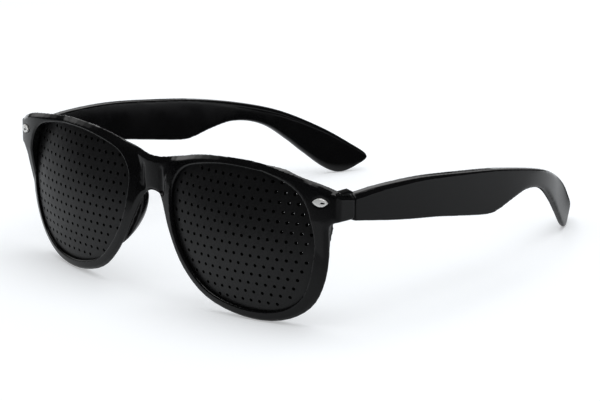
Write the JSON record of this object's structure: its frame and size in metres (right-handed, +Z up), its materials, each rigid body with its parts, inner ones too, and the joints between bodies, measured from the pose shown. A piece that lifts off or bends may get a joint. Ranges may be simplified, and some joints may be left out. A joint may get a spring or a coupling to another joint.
{
  "type": "pinhole glasses",
  "caption": "Folding pinhole glasses: a moulded full-rim front with opaque perforated curved lenses, integral nose pads and two hinged temples.",
  "frame": {"origin": "on the ground, under the middle of the bounding box, with the glasses open and standing on the rims' lower edge and the temple tips", "axes": "+X to the wearer's left, +Y back from the front towards the ears, +Z up"},
  "size_m": [0.1468, 0.1547, 0.0509],
  "materials": {
    "gloss_black_plastic": "polished injection-moulded black plastic",
    "matte_black_plastic": "satin dark plastic sheet, punched with round holes",
    "polished_metal": "bright plated trim",
    "hinge_metal": "plated hinge metal"
  },
  "bodies": {
    "front": {"front_frame": "gloss_black_plastic", "left_lens": "matte_black_plastic", "right_lens": "matte_black_plastic", "left_stud": "polished_metal", "right_stud": "polished_metal", "left_front_leaf": "hinge_metal", "right_front_leaf": "hinge_metal", "left_hinge_screw": "hinge_metal", "right_hinge_screw": "hinge_metal"},
    "left_arm": {"left_temple": "gloss_black_plastic", "left_temple_leaf": "hinge_metal"},
    "right_arm": {"right_temple": "gloss_black_plastic", "right_temple_leaf": "hinge_metal"}
  },
  "joints": [
    {"name": "left_hinge", "type": "hinge", "parent": "front", "child": "left_arm", "pos_m": [0.06695, -0.0559, 0.03852], "axis": [0, 0.0289, 0.9996], "range_deg": [0, 83.5]},
    {"name": "right_hinge", "type": "hinge", "parent": "front", "child": "right_arm", "pos_m": [-0.06695, -0.0559, 0.03852], "axis": [0, -0.0289, -0.9996], "range_deg": [0, 77]}
  ]
}
